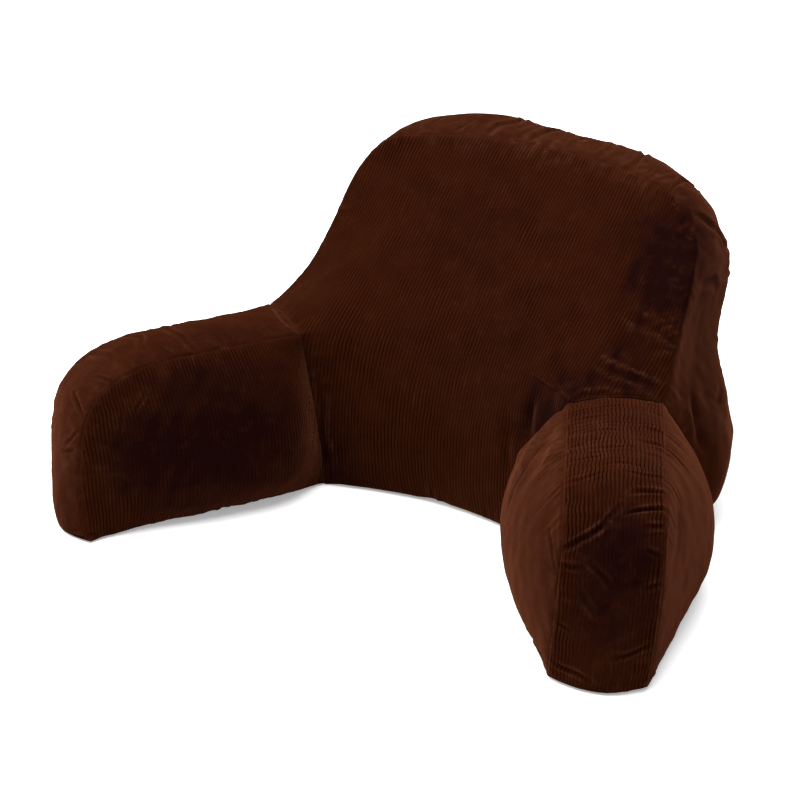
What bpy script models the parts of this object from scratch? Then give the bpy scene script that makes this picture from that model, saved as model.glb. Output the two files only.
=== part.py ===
"""Reading cushion for sitting up in bed: a leaning back and two splayed arms, all filled cloth.

The front of the arms points towards -Y and +Z is up.  Every length is in metres.
"""

import math

import bmesh
import bpy
import numpy as np
from mathutils import Matrix, Vector

COLLECTION_NAME = "reading_cushion"

# Two sewn-together forms stay this far apart, so that no solid touches another.
SEAM_GAP = 0.0004
# The cages are smoothed this many times.  A seam is half sharp, the outline of a base is a
# little sharper, and the outline of a face that is sewn to another form is quite sharp.
SMOOTH_LEVELS = 2
SEAM_CREASE = 0.5
BASE_CREASE = 0.6
SHARP = 1.0

# Cells of the cage of the back: across, up, and from front to rear.
BACK_CELLS = (10, 8, 3)
# The middle corner across, and how many corners from it the front panel bends towards an arm.
BACK_MIDDLE = 5
BEND_COLUMN = 2
# Cells of the cage of an arm: from its joint to its front, up, and from inner to outer side.
ARM_CELLS = (5, 4, 3)

# Brown corduroy: colour as linear red, green and blue.
CLOTH_COLOUR = (0.062, 0.016, 0.008, 1.0)
CLOTH_ROUGHNESS = 0.92

# Height lines of the right half of the back, from the floor to the top seam.  "centre" lies in
# the middle of the front panel, "rear" on the seam between boxing strip and rear panel.
BACK_COLUMNS = (
    "centre_y", "centre_z", "rear_x", "rear_y", "rear_z", "rear_centre_y", "rear_centre_z",
    "side_crown", "left_draw",
)
BACK_LINES = (
    (0.306, 0.000, 0.256, 0.488, 0.000, 0.500, 0.000, 0.000, 0.000),
    (0.290, 0.030, 0.273, 0.501, 0.030, 0.520, 0.030, 0.030, 0.000),
    (0.286, 0.095, 0.278, 0.520, 0.090, 0.552, 0.085, 0.034, 0.000),
    (0.306, 0.158, 0.264, 0.540, 0.140, 0.585, 0.135, 0.024, 0.000),
    (0.338, 0.206, 0.242, 0.556, 0.170, 0.605, 0.165, 0.008, 0.000),
    (0.376, 0.252, 0.232, 0.575, 0.200, 0.624, 0.200, -0.004, 0.012),
    (0.436, 0.312, 0.232, 0.598, 0.240, 0.645, 0.245, 0.000, 0.014),
    (0.494, 0.361, 0.226, 0.612, 0.275, 0.660, 0.285, 0.014, 0.003),
    (0.550, 0.397, 0.190, 0.618, 0.303, 0.672, 0.318, 0.022, -0.005),
)
# How quickly the front panel curves from its middle to its bends, and the rear panel to its
# seams: 1 would be straight.
FRONT_CURVE = 1.6
REAR_CURVE = 2.0

# The flat face in which an arm is sewn to the back: its height lines from the floor to the top
# of the arm, and the three corners that its plane runs through.
JOINT_COLUMNS = ("bend_x", "bend_z", "seam_x", "seam_z")
JOINT_LINES = (
    (0.156, 0.000, 0.287, 0.000),
    (0.158, 0.030, 0.299, 0.030),
    (0.164, 0.100, 0.303, 0.100),
    (0.180, 0.160, 0.292, 0.160),
    (0.190, 0.198, 0.283, 0.195),
)
JOINT_CORNERS = ((0.156, 0.2705, 0.000), (0.190, 0.2700, 0.198), (0.283, 0.337, 0.195))
# How much higher the middle of the joint's top is than its ends.
JOINT_CROWN = 0.010

# Height lines above the arms.  "bend" continues the line where the panel turns into the arm,
# "seam" is the seam between front panel and boxing strip.
SHOULDER_COLUMNS = ("bend_x", "bend_y", "bend_z", "seam_x", "seam_y", "seam_z")
SHOULDER_LINES = (
    (0.184, 0.343, 0.240, 0.270, 0.383, 0.228),
    (0.168, 0.430, 0.304, 0.262, 0.430, 0.290),
    (0.150, 0.487, 0.358, 0.250, 0.477, 0.345),
    (0.125, 0.533, 0.394, 0.210, 0.506, 0.385),
)
# How far the top of the boxing strip bulges, at some of the corners of the cage across.
TOP_COLUMNS = ("across", "rearwards", "up")
TOP_CROWN = (
    (0, 0.012, 0.028),
    (1, 0.019, 0.047),
    (3, 0.018, 0.046),
    (5, 0.015, 0.031),
    (7, 0.014, 0.034),
    (9, 0.013, 0.033),
    (10, 0.007, 0.014),
)

# How each arm lies: degrees that it splays outwards, how far its front comes at the floor and at
# the top, how much further its outer side comes there, how far its front is drawn inwards at the
# floor, and how much lower its outer side is.
ARM_LIE = {
    "arm_right": {
        "side": 1.0, "splay": 29.0, "floor_reach": 0.303, "top_reach": 0.300,
        "floor_skew": 0.018, "top_skew": 0.0, "floor_inset": 0.0, "low": 0.0,
    },
    "arm_left": {
        "side": -1.0, "splay": 26.5, "floor_reach": 0.308, "top_reach": 0.282,
        "floor_skew": -0.021, "top_skew": -0.014, "floor_inset": 0.016, "low": 0.010,
    },
}
STRIP_WIDTH = 0.114
STRIP_CROWN = 0.014
# Stations along an arm, as a share of its reach.
ARM_COLUMNS = ("along", "top_z", "inner_bulge", "outer_bulge", "inner_floor", "outer_floor")
ARM_STATIONS = (
    (0.13, 0.202, 0.066, 0.052, 0.030, 0.024),
    (0.37, 0.204, 0.061, 0.056, 0.030, 0.020),
    (0.62, 0.206, 0.051, 0.040, 0.026, 0.010),
    (0.82, 0.203, 0.040, 0.026, 0.018, 0.000),
)
# Heights of the side panels as a share of the height of the strip, and the share of the bulge
# that each height has.
ARM_HEIGHTS = ((0.00, 0.0), (0.15, 0.75), (0.48, 1.0), (0.80, 0.76), (1.00, 0.0))
# The front of an arm: height, push forwards and inward shift of each height line of its strip,
# and how far the middle of the strip stands out.
FRONT_COLUMNS = ("z", "push", "inset", "crown")
FRONT_LINES = (
    (0.000, 0.000, 0.014, 0.030),
    (0.026, 0.014, 0.012, 0.024),
    (0.085, 0.018, 0.006, 0.014),
    (0.140, 0.016, 0.002, 0.012),
    (0.178, 0.000, 0.000, 0.012),
)


def clear_scene():
    """Remove every object that is in the file."""
    for old in list(bpy.data.objects):
        bpy.data.objects.remove(old, do_unlink=True)


def rows(columns, table):
    """Give the rows of a table as dictionaries with the column names as keys."""
    return [dict(zip(columns, row)) for row in table]


def joint_normal():
    """Give the direction square to the right-hand joint, pointing into the back."""
    low, inner, outer = (np.array(corner) for corner in JOINT_CORNERS)
    normal = np.cross(outer - inner, low - inner)
    return normal / np.linalg.norm(normal)


def on_joint(x, z):
    """Give the point of the right-hand joint's plane that has this x and z."""
    normal = joint_normal()
    corner = np.array(JOINT_CORNERS[1])
    y = corner[1] - (normal[0] * (x - corner[0]) + normal[2] * (z - corner[2])) / normal[1]
    return np.array([x, y, z])


def side_points(up):
    """Give the bend and the seam of the front panel on one height line."""
    if up < len(JOINT_LINES):
        line = rows(JOINT_COLUMNS, JOINT_LINES)[up]
        return on_joint(line["bend_x"], line["bend_z"]), on_joint(line["seam_x"], line["seam_z"])
    line = rows(SHOULDER_COLUMNS, SHOULDER_LINES)[up - len(JOINT_LINES)]
    bend = np.array([line["bend_x"], line["bend_y"], line["bend_z"]])
    seam = np.array([line["seam_x"], line["seam_y"], line["seam_z"]])
    return bend, seam


def box_cage(cells):
    """Make a box of quads with the given number of cells along its three sides.

    Each corner point lies at whole numbers, which say its place in the three directions.
    """
    cage = bmesh.new()
    bmesh.ops.create_cube(cage, size=1.0)
    for point in cage.verts:
        point.co = [(value + 0.5) * count for value, count in zip(point.co, cells)]
    for axis, count in enumerate(cells):
        for cut in range(1, count):
            middle = [0.0, 0.0, 0.0]
            normal = [0.0, 0.0, 0.0]
            middle[axis] = cut
            normal[axis] = 1.0
            everything = list(cage.verts) + list(cage.edges) + list(cage.faces)
            bmesh.ops.bisect_plane(cage, geom=everything, plane_co=middle, plane_no=normal)
    return cage


def finish_cage(cage, name, place, crease, pinned, collection):
    """Move the corners of a cage to their places, crease its seams and smooth it."""
    edge_crease = cage.edges.layers.float.new("crease_edge")
    point_crease = cage.verts.layers.float.new("crease_vert")
    numbers = {point: tuple(round(value) for value in point.co) for point in cage.verts}
    for edge in cage.edges:
        first, second = edge.verts
        edge[edge_crease] = crease(numbers[first], numbers[second])
    for point in cage.verts:
        point[point_crease] = pinned(numbers[point])
    for point in cage.verts:
        point.co = place(numbers[point])
    if cage.calc_volume(signed=True) < 0.0:
        bmesh.ops.reverse_faces(cage, faces=list(cage.faces))
    mesh = bpy.data.meshes.new(name)
    cage.to_mesh(mesh)
    cage.free()
    mesh.shade_smooth()
    mesh.materials.append(cloth_material(name + "_cloth"))
    form = bpy.data.objects.new(name, mesh)
    collection.objects.link(form)
    smooth = form.modifiers.new("filled_form", "SUBSURF")
    smooth.levels = SMOOTH_LEVELS
    smooth.render_levels = SMOOTH_LEVELS
    return form


def joint_point(up, share):
    """Place a corner of the right-hand joint, at a share of the way from its inner edge."""
    inner, outer = side_points(up)
    spot = inner + (outer - inner) * share
    if up == len(JOINT_LINES) - 1:
        spot = on_joint(spot[0], spot[2] + JOINT_CROWN * dome(share))
    return spot


def dome(share):
    """Give a bow that rises from 0 at both ends to 1 in the middle."""
    return 4.0 * share * (1.0 - share)


def front_point(column, up):
    """Place a corner on the right half of the front side of the back."""
    line = rows(BACK_COLUMNS, BACK_LINES)[up]
    centre = np.array([0.0, line["centre_y"], line["centre_z"]])
    bend, seam = side_points(up)
    if column <= BEND_COLUMN:
        share = column / BEND_COLUMN
        curve = np.array([share, share ** FRONT_CURVE, share ** FRONT_CURVE])
        return centre + (bend - centre) * curve
    share = (column - BEND_COLUMN) / (BACK_MIDDLE - BEND_COLUMN)
    if up < len(JOINT_LINES):
        return joint_point(up, share)
    return bend + (seam - bend) * share


def rear_point(column, up):
    """Place a corner on the right half of the rear side of the back."""
    line = rows(BACK_COLUMNS, BACK_LINES)[up]
    seam = np.array([line["rear_x"], line["rear_y"], line["rear_z"]])
    centre = np.array([0.0, line["rear_centre_y"], line["rear_centre_z"]])
    share = column / BACK_MIDDLE
    curve = np.array([share, share ** REAR_CURVE, share ** REAR_CURVE])
    return centre + (seam - centre) * curve


def back_point(number):
    """Place one corner of the cage of the back from its three numbers."""
    across, up, deep = number
    column = abs(across - BACK_MIDDLE)
    line = rows(BACK_COLUMNS, BACK_LINES)[up]
    front = front_point(column, up)
    spot = front + (rear_point(column, up) - front) * (deep / BACK_CELLS[2])
    if 0 < deep < BACK_CELLS[2]:
        if column == BACK_MIDDLE:
            spot[0] += line["side_crown"]
        if up == BACK_CELLS[1]:
            crown = dict(zip(TOP_COLUMNS, zip(*TOP_CROWN)))
            spot[1] += np.interp(across, crown["across"], crown["rearwards"])
            spot[2] += np.interp(across, crown["across"], crown["up"])
    if across < BACK_MIDDLE:
        spot[0] = -spot[0] + line["left_draw"] * column / BACK_MIDDLE
    return spot


def back_crease(first, second):
    """Say how sharp the edge between two corners of the back is."""
    def both(test):
        return test(first) and test(second)

    if both(in_joint) and on_joint_outline(first, second):
        return SHARP
    if both(lambda number: number[1] == 0 and on_outline(number)):
        return BASE_CREASE
    for deep in (0, BACK_CELLS[2]):
        if both(lambda number: number[2] == deep and on_bell(number)):
            return SEAM_CREASE
    return 0.0


def on_outline(number):
    """Say whether a corner lies on the outline of the base of the back."""
    return number[0] in (0, BACK_CELLS[0]) or number[2] in (0, BACK_CELLS[2])


def on_bell(number):
    """Say whether a corner lies on the bell-shaped outline of the front or rear panel."""
    return number[0] in (0, BACK_CELLS[0]) or number[1] == BACK_CELLS[1]


def in_joint(number):
    """Say whether a corner of the back lies in the flat face that an arm is sewn to."""
    column = abs(number[0] - BACK_MIDDLE)
    return number[2] == 0 and column >= BEND_COLUMN and number[1] < len(JOINT_LINES)


def on_joint_outline(first, second):
    """Say whether the edge between two corners of a joint lies on its outline."""
    columns = [abs(number[0] - BACK_MIDDLE) for number in (first, second)]
    return (columns == [BEND_COLUMN] * 2 or columns == [BACK_MIDDLE] * 2
            or first[1] == second[1] and first[1] in (0, len(JOINT_LINES) - 1))


def back_pinned(number):
    """Say how firmly a corner of the back keeps its place."""
    column = abs(number[0] - BACK_MIDDLE)
    end_column = column in (BEND_COLUMN, BACK_MIDDLE)
    end_line = number[1] in (0, len(JOINT_LINES) - 1)
    return SHARP if in_joint(number) and end_column and end_line else 0.0


def arm_directions(lie):
    """Give the directions ahead along an arm and outwards from it, on the right-hand side."""
    splay = math.radians(lie["splay"])
    ahead = np.array([math.sin(splay), -math.cos(splay), 0.0])
    outwards = np.array([math.cos(splay), math.sin(splay), 0.0])
    return ahead, outwards


def arm_front_point(up, share, lie):
    """Place a corner on the front of an arm, at a share of the way across its strip."""
    ahead, outwards = arm_directions(lie)
    front = rows(FRONT_COLUMNS, FRONT_LINES)[up]
    level = up / ARM_CELLS[1]
    reach = lie["floor_reach"] + (lie["top_reach"] - lie["floor_reach"]) * level
    skew = lie["floor_skew"] + (lie["top_skew"] - lie["floor_skew"]) * level
    reach += front["push"] + front["crown"] * dome(share) + skew * share
    spot = np.array(JOINT_CORNERS[1]) + ahead * reach
    inset = front["inset"] + lie["floor_inset"] * (1.0 - level) ** 2
    spot += outwards * (STRIP_WIDTH * share - inset)
    spot[2] = front["z"] - lie["low"] * share * level
    return spot


def arm_side_point(along, up, share, lie):
    """Place a corner between the joint and the front of an arm."""
    ahead, outwards = arm_directions(lie)
    station = rows(ARM_COLUMNS, ARM_STATIONS)[along - 1]
    level, fullness = ARM_HEIGHTS[up]
    inner = -station["inner_floor"] * (1.0 - level) - station["inner_bulge"] * fullness
    outer = station["outer_floor"] * (1.0 - level) + station["outer_bulge"] * fullness
    offset = inner + (STRIP_WIDTH + outer - inner) * share
    reach = station["along"] * (lie["top_reach"] + lie["top_skew"] * share)
    spot = np.array(JOINT_CORNERS[1]) + ahead * reach + outwards * offset
    spot[2] = station["top_z"] * level
    if up == ARM_CELLS[1]:
        spot[2] += STRIP_CROWN * dome(share) - lie["low"] * share
    return spot


def arm_point(number, lie):
    """Place one corner of the cage of an arm, as if it were the right-hand one."""
    along, up, across = number
    share = across / ARM_CELLS[2]
    if along == 0:
        return joint_point(up, share) - joint_normal() * [SEAM_GAP, SEAM_GAP, 0.0]
    if along == ARM_CELLS[0]:
        return arm_front_point(up, share, lie)
    return arm_side_point(along, up, share, lie)


def arm_crease(first, second):
    """Say how sharp the edge between two corners of an arm is."""
    def both(axis, *values):
        return first[axis] == second[axis] and first[axis] in values

    along_side = both(2, 0, ARM_CELLS[2])
    if both(0, 0) and (along_side or both(1, 0, ARM_CELLS[1])):
        return SHARP
    if both(1, 0) and (along_side or both(0, ARM_CELLS[0])):
        return BASE_CREASE
    on_strip = [number[1] == ARM_CELLS[1] or number[0] == ARM_CELLS[0] for number in (first, second)]
    if along_side and all(on_strip):
        return SEAM_CREASE
    return 0.0


def arm_pinned(number):
    """Say how firmly a corner of an arm keeps its place."""
    corner = number[0] == 0 and number[1] in (0, ARM_CELLS[1]) and number[2] in (0, ARM_CELLS[2])
    return SHARP if corner else 0.0


def cloth_material(name):
    """Make a plain dull material for one form."""
    material = bpy.data.materials.new(name)
    material.use_nodes = True
    shader = material.node_tree.nodes["Principled BSDF"]
    shader.inputs["Base Color"].default_value = CLOTH_COLOUR
    shader.inputs["Roughness"].default_value = CLOTH_ROUGHNESS
    material.diffuse_color = CLOTH_COLOUR
    return material


def smoothed_points(form):
    """Give the corners of a form after its smoothing."""
    smooth = form.evaluated_get(bpy.context.evaluated_depsgraph_get())
    mesh = smooth.to_mesh()
    points = np.empty(len(mesh.vertices) * 3)
    mesh.vertices.foreach_get("co", points)
    smooth.to_mesh_clear()
    return points.reshape(-1, 3)


def centre_on_floor(forms):
    """Move all forms together until the middle of their outline stands on the origin."""
    points = np.vstack([smoothed_points(form) for form in forms])
    middle = (points.min(axis=0) + points.max(axis=0)) / 2.0
    middle[2] = points[:, 2].min()
    for form in forms:
        form.data.transform(Matrix.Translation(-Vector(middle)))


def main():
    """Build the cushion."""
    clear_scene()
    collection = bpy.data.collections.new(COLLECTION_NAME)
    bpy.context.scene.collection.children.link(collection)
    forms = [
        finish_cage(box_cage(BACK_CELLS), "back", back_point, back_crease, back_pinned, collection),
    ]
    for name, lie in ARM_LIE.items():
        def place(number, lie=lie):
            return arm_point(number, lie) * [lie["side"], 1.0, 1.0]

        forms.append(finish_cage(box_cage(ARM_CELLS), name, place, arm_crease, arm_pinned, collection))
    centre_on_floor(forms)


main()
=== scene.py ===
# %% [markdown]
# # A reading cushion in brown corduroy
#
# The real cushion is sewn from corduroy panels and stuffed with loose fibre: a bell-shaped back
# with a boxing strip round it, and two splayed arms, each with its own strip over the top and
# down the front.  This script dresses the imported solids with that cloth, cord by cord.

# %% Load the solids and remember their box
import math

import bmesh
import bpy
import numpy as np
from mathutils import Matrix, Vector


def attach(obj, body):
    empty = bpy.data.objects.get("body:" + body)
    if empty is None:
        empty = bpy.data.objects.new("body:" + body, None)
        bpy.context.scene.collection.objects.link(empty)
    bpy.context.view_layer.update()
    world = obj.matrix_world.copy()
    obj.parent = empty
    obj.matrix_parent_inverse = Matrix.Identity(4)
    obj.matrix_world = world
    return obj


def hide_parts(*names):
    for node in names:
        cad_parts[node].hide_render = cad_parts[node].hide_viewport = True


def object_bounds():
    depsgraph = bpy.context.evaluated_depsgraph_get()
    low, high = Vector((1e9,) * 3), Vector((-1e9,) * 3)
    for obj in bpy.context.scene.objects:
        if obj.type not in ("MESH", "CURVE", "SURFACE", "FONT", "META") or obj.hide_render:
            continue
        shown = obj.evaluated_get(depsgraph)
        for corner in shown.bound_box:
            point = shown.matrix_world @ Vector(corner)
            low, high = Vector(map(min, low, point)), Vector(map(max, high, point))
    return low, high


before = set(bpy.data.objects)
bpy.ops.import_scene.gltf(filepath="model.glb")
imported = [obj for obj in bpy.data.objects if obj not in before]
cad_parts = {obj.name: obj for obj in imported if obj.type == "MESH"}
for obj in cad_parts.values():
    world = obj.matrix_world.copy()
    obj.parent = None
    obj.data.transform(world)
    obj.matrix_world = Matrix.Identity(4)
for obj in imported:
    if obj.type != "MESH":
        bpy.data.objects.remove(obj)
solid_box = [[float(value) for value in corner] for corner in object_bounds()]
print("box of the solids", solid_box)

# %% [markdown]
# ## The three filled forms
#
# A stuffed form could be simulated, but its fullness is already known from the solids.  So each
# form starts as the same coarse cage as its solid: a box of quads whose corners are moved to
# measured places.  A Subdivision Surface turns the cage into a full, soft shape.  Each corner
# also carries its three whole numbers in the cage.  Subdivision shares these out evenly, so the
# smooth points can be read back as tidy grids, one for each side of the box.

# %% Sizes of the cages, in metres, the same as in the solids
FINE_LEVELS = 5
FINE = 2 ** FINE_LEVELS
# Two sewn-together forms stay this far apart, so that no solid touches another.
SEAM_GAP = 0.0004
# A seam is half sharp, the outline of a base is a little sharper, and the outline of a face that
# is sewn to another form is quite sharp.
SEAM_CREASE = 0.5
BASE_CREASE = 0.6
SHARP = 1.0

# Cells of the cage of the back: across, up, and from front to rear.
BACK_CELLS = (10, 8, 3)
# The middle corner across, and how many corners from it the front panel bends towards an arm.
BACK_MIDDLE = 5
BEND_COLUMN = 2
# Cells of the cage of an arm: from its joint to its front, up, and from inner to outer side.
ARM_CELLS = (5, 4, 3)

# Height lines of the right half of the back, from the floor to the top seam.  "centre" lies in
# the middle of the front panel, "rear" on the seam between boxing strip and rear panel.
BACK_COLUMNS = (
    "centre_y", "centre_z", "rear_x", "rear_y", "rear_z", "rear_centre_y", "rear_centre_z",
    "side_crown", "left_draw",
)
BACK_LINES = (
    (0.306, 0.000, 0.256, 0.488, 0.000, 0.500, 0.000, 0.000, 0.000),
    (0.290, 0.030, 0.273, 0.501, 0.030, 0.520, 0.030, 0.030, 0.000),
    (0.286, 0.095, 0.278, 0.520, 0.090, 0.552, 0.085, 0.034, 0.000),
    (0.306, 0.158, 0.264, 0.540, 0.140, 0.585, 0.135, 0.024, 0.000),
    (0.338, 0.206, 0.242, 0.556, 0.170, 0.605, 0.165, 0.008, 0.000),
    (0.376, 0.252, 0.232, 0.575, 0.200, 0.624, 0.200, -0.004, 0.012),
    (0.436, 0.312, 0.232, 0.598, 0.240, 0.645, 0.245, 0.000, 0.014),
    (0.494, 0.361, 0.226, 0.612, 0.275, 0.660, 0.285, 0.014, 0.003),
    (0.550, 0.397, 0.190, 0.618, 0.303, 0.672, 0.318, 0.022, -0.005),
)
# How quickly the front panel curves from its middle to its bends, and the rear panel to its
# seams: 1 would be straight.
FRONT_CURVE = 1.6
REAR_CURVE = 2.0

# The flat face in which an arm is sewn to the back: its height lines from the floor to the top
# of the arm, and the three corners that its plane runs through.
JOINT_COLUMNS = ("bend_x", "bend_z", "seam_x", "seam_z")
JOINT_LINES = (
    (0.156, 0.000, 0.287, 0.000),
    (0.158, 0.030, 0.299, 0.030),
    (0.164, 0.100, 0.303, 0.100),
    (0.180, 0.160, 0.292, 0.160),
    (0.190, 0.198, 0.283, 0.195),
)
JOINT_CORNERS = ((0.156, 0.2705, 0.000), (0.190, 0.2700, 0.198), (0.283, 0.337, 0.195))
# How much higher the middle of the joint's top is than its ends.
JOINT_CROWN = 0.010

# Height lines above the arms.  "bend" continues the line where the panel turns into the arm,
# "seam" is the seam between front panel and boxing strip.
SHOULDER_COLUMNS = ("bend_x", "bend_y", "bend_z", "seam_x", "seam_y", "seam_z")
SHOULDER_LINES = (
    (0.184, 0.343, 0.240, 0.270, 0.383, 0.228),
    (0.168, 0.430, 0.304, 0.262, 0.430, 0.290),
    (0.150, 0.487, 0.358, 0.250, 0.477, 0.345),
    (0.125, 0.533, 0.394, 0.210, 0.506, 0.385),
)
# How far the top of the boxing strip bulges, at some of the corners of the cage across.
TOP_COLUMNS = ("across", "rearwards", "up")
TOP_CROWN = (
    (0, 0.012, 0.028),
    (1, 0.019, 0.047),
    (3, 0.018, 0.046),
    (5, 0.015, 0.031),
    (7, 0.014, 0.034),
    (9, 0.013, 0.033),
    (10, 0.007, 0.014),
)

# How each arm lies: degrees that it splays outwards, how far its front comes at the floor and at
# the top, how much further its outer side comes there, how far its front is drawn inwards at the
# floor, and how much lower its outer side is.
ARM_LIE = {
    "arm_right": {
        "side": 1.0, "splay": 29.0, "floor_reach": 0.303, "top_reach": 0.300,
        "floor_skew": 0.018, "top_skew": 0.0, "floor_inset": 0.0, "low": 0.0,
    },
    "arm_left": {
        "side": -1.0, "splay": 26.5, "floor_reach": 0.308, "top_reach": 0.282,
        "floor_skew": -0.021, "top_skew": -0.014, "floor_inset": 0.016, "low": 0.010,
    },
}
STRIP_WIDTH = 0.114
STRIP_CROWN = 0.014
# Stations along an arm, as a share of its reach.
ARM_COLUMNS = ("along", "top_z", "inner_bulge", "outer_bulge", "inner_floor", "outer_floor")
ARM_STATIONS = (
    (0.13, 0.202, 0.066, 0.052, 0.030, 0.024),
    (0.37, 0.204, 0.061, 0.056, 0.030, 0.020),
    (0.62, 0.206, 0.051, 0.040, 0.026, 0.010),
    (0.82, 0.203, 0.040, 0.026, 0.018, 0.000),
)
# Heights of the side panels as a share of the height of the strip, and the share of the bulge
# that each height has.
ARM_HEIGHTS = ((0.00, 0.0), (0.15, 0.75), (0.48, 1.0), (0.80, 0.76), (1.00, 0.0))
# The front of an arm: height, push forwards and inward shift of each height line of its strip,
# and how far the middle of the strip stands out.
FRONT_COLUMNS = ("z", "push", "inset", "crown")
FRONT_LINES = (
    (0.000, 0.000, 0.014, 0.030),
    (0.026, 0.014, 0.012, 0.024),
    (0.085, 0.018, 0.006, 0.014),
    (0.140, 0.016, 0.002, 0.012),
    (0.178, 0.000, 0.000, 0.012),
)

# %% A box of quads with numbered corners
def rows(columns, table):
    """Give the rows of a table as dictionaries with the column names as keys."""
    return [dict(zip(columns, row)) for row in table]


def joint_normal():
    """Give the direction square to the right-hand joint, pointing into the back."""
    low, inner, outer = (np.array(corner) for corner in JOINT_CORNERS)
    normal = np.cross(outer - inner, low - inner)
    return normal / np.linalg.norm(normal)


def on_joint(x, z):
    """Give the point of the right-hand joint's plane that has this x and z."""
    normal = joint_normal()
    corner = np.array(JOINT_CORNERS[1])
    y = corner[1] - (normal[0] * (x - corner[0]) + normal[2] * (z - corner[2])) / normal[1]
    return np.array([x, y, z])


def side_points(up):
    """Give the bend and the seam of the front panel on one height line."""
    if up < len(JOINT_LINES):
        line = rows(JOINT_COLUMNS, JOINT_LINES)[up]
        return on_joint(line["bend_x"], line["bend_z"]), on_joint(line["seam_x"], line["seam_z"])
    line = rows(SHOULDER_COLUMNS, SHOULDER_LINES)[up - len(JOINT_LINES)]
    bend = np.array([line["bend_x"], line["bend_y"], line["bend_z"]])
    seam = np.array([line["seam_x"], line["seam_y"], line["seam_z"]])
    return bend, seam


def box_cage(cells):
    """Make a box of quads with the given number of cells along its three sides.

    Each corner point lies at whole numbers, which say its place in the three directions.
    """
    cage = bmesh.new()
    bmesh.ops.create_cube(cage, size=1.0)
    for point in cage.verts:
        point.co = [(value + 0.5) * count for value, count in zip(point.co, cells)]
    for axis, count in enumerate(cells):
        for cut in range(1, count):
            middle = [0.0, 0.0, 0.0]
            normal = [0.0, 0.0, 0.0]
            middle[axis] = cut
            normal[axis] = 1.0
            everything = list(cage.verts) + list(cage.edges) + list(cage.faces)
            bmesh.ops.bisect_plane(cage, geom=everything, plane_co=middle, plane_no=normal)
    return cage


def shape_cage(cage, place, crease, pinned):
    """Crease the seams of a cage, pin its sharp corners and move every corner to its place."""
    lattice = cage.verts.layers.float_vector.new("lattice")
    edge_crease = cage.edges.layers.float.new("crease_edge")
    point_crease = cage.verts.layers.float.new("crease_vert")
    numbers = {point: tuple(round(value) for value in point.co) for point in cage.verts}
    for edge in cage.edges:
        first, second = edge.verts
        edge[edge_crease] = crease(numbers[first], numbers[second])
    for point, number in numbers.items():
        point[lattice] = number
        point[point_crease] = pinned(number)
        point.co = place(number)

# %% Places of the corners of the back
def joint_point(up, share):
    """Place a corner of the right-hand joint, at a share of the way from its inner edge."""
    inner, outer = side_points(up)
    spot = inner + (outer - inner) * share
    if up == len(JOINT_LINES) - 1:
        spot = on_joint(spot[0], spot[2] + JOINT_CROWN * dome(share))
    return spot


def dome(share):
    """Give a bow that rises from 0 at both ends to 1 in the middle."""
    return 4.0 * share * (1.0 - share)


def front_point(column, up):
    """Place a corner on the right half of the front side of the back."""
    line = rows(BACK_COLUMNS, BACK_LINES)[up]
    centre = np.array([0.0, line["centre_y"], line["centre_z"]])
    bend, seam = side_points(up)
    if column <= BEND_COLUMN:
        share = column / BEND_COLUMN
        curve = np.array([share, share ** FRONT_CURVE, share ** FRONT_CURVE])
        return centre + (bend - centre) * curve
    share = (column - BEND_COLUMN) / (BACK_MIDDLE - BEND_COLUMN)
    if up < len(JOINT_LINES):
        return joint_point(up, share)
    return bend + (seam - bend) * share


def rear_point(column, up):
    """Place a corner on the right half of the rear side of the back."""
    line = rows(BACK_COLUMNS, BACK_LINES)[up]
    seam = np.array([line["rear_x"], line["rear_y"], line["rear_z"]])
    centre = np.array([0.0, line["rear_centre_y"], line["rear_centre_z"]])
    share = column / BACK_MIDDLE
    curve = np.array([share, share ** REAR_CURVE, share ** REAR_CURVE])
    return centre + (seam - centre) * curve


def back_point(number):
    """Place one corner of the cage of the back from its three numbers."""
    across, up, deep = number
    column = abs(across - BACK_MIDDLE)
    line = rows(BACK_COLUMNS, BACK_LINES)[up]
    front = front_point(column, up)
    spot = front + (rear_point(column, up) - front) * (deep / BACK_CELLS[2])
    if 0 < deep < BACK_CELLS[2]:
        if column == BACK_MIDDLE:
            spot[0] += line["side_crown"]
        if up == BACK_CELLS[1]:
            crown = dict(zip(TOP_COLUMNS, zip(*TOP_CROWN)))
            spot[1] += np.interp(across, crown["across"], crown["rearwards"])
            spot[2] += np.interp(across, crown["across"], crown["up"])
    if across < BACK_MIDDLE:
        spot[0] = -spot[0] + line["left_draw"] * column / BACK_MIDDLE
    return spot


def back_crease(first, second):
    """Say how sharp the edge between two corners of the back is."""
    def both(test):
        return test(first) and test(second)

    if both(in_joint) and on_joint_outline(first, second):
        return SHARP
    if both(lambda number: number[1] == 0 and on_outline(number)):
        return BASE_CREASE
    for deep in (0, BACK_CELLS[2]):
        if both(lambda number: number[2] == deep and on_bell(number)):
            return SEAM_CREASE
    return 0.0


def on_outline(number):
    """Say whether a corner lies on the outline of the base of the back."""
    return number[0] in (0, BACK_CELLS[0]) or number[2] in (0, BACK_CELLS[2])


def on_bell(number):
    """Say whether a corner lies on the bell-shaped outline of the front or rear panel."""
    return number[0] in (0, BACK_CELLS[0]) or number[1] == BACK_CELLS[1]


def in_joint(number):
    """Say whether a corner of the back lies in the flat face that an arm is sewn to."""
    column = abs(number[0] - BACK_MIDDLE)
    return number[2] == 0 and column >= BEND_COLUMN and number[1] < len(JOINT_LINES)


def on_joint_outline(first, second):
    """Say whether the edge between two corners of a joint lies on its outline."""
    columns = [abs(number[0] - BACK_MIDDLE) for number in (first, second)]
    return (columns == [BEND_COLUMN] * 2 or columns == [BACK_MIDDLE] * 2
            or first[1] == second[1] and first[1] in (0, len(JOINT_LINES) - 1))


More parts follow.
